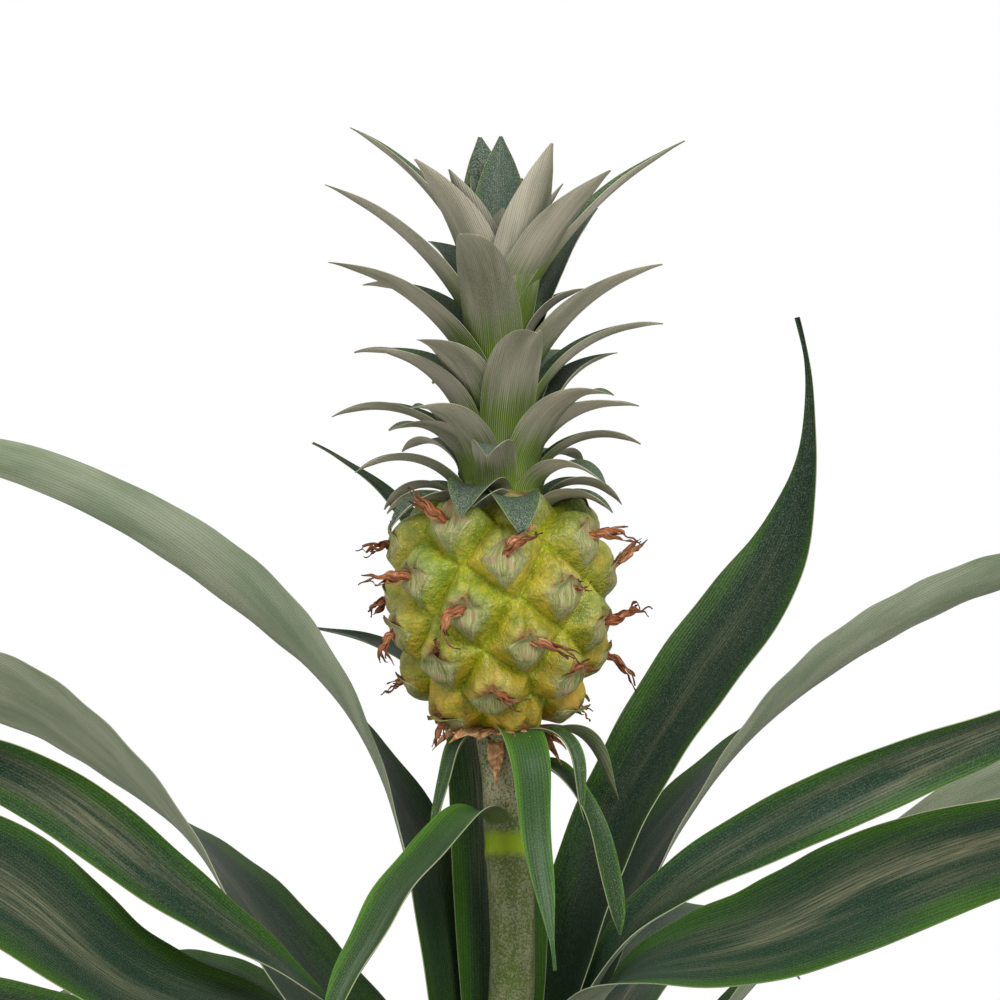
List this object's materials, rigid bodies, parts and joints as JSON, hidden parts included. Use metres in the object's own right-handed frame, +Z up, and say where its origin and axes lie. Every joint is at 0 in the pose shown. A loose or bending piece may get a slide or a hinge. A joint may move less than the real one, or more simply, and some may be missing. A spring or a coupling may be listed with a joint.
{
  "type": "potted ornamental pineapple plant",
  "caption": "Potted bromeliad with arching strap leaves around an upright stalk, which bears a small pineapple fruit with a leafy crown.",
  "frame": {"origin": "centre of the pot's flat underside", "axes": "+Z up along the pot's and the fruit stalk's axis, -Y towards the viewer of the picture, +X to the picture's right"},
  "size_m": [0.7083, 0.7263, 0.5539],
  "materials": {
    "pot": "satin",
    "soil": "matte",
    "stem": "matte",
    "leaf": "satin",
    "fruit": "satin",
    "crown": "matte"
  },
  "bodies": {
    "root": {"pot": "pot", "soil": "soil", "stem": "stem", "fruit": "fruit", "crown": "crown", "leaf_01": "leaf", "leaf_02": "leaf", "leaf_03": "leaf", "leaf_04": "leaf", "leaf_05": "leaf", "leaf_06": "leaf", "leaf_07": "leaf", "leaf_08": "leaf", "leaf_09": "leaf", "leaf_10": "leaf", "leaf_11": "leaf", "leaf_12": "leaf", "leaf_13": "leaf", "leaf_14": "leaf", "leaf_15": "leaf", "leaf_16": "leaf", "leaf_17": "leaf", "leaf_18": "leaf", "leaf_19": "leaf", "leaf_20": "leaf", "leaf_21": "leaf", "leaf_22": "leaf", "leaf_23": "leaf"}
  },
  "joints": []
}
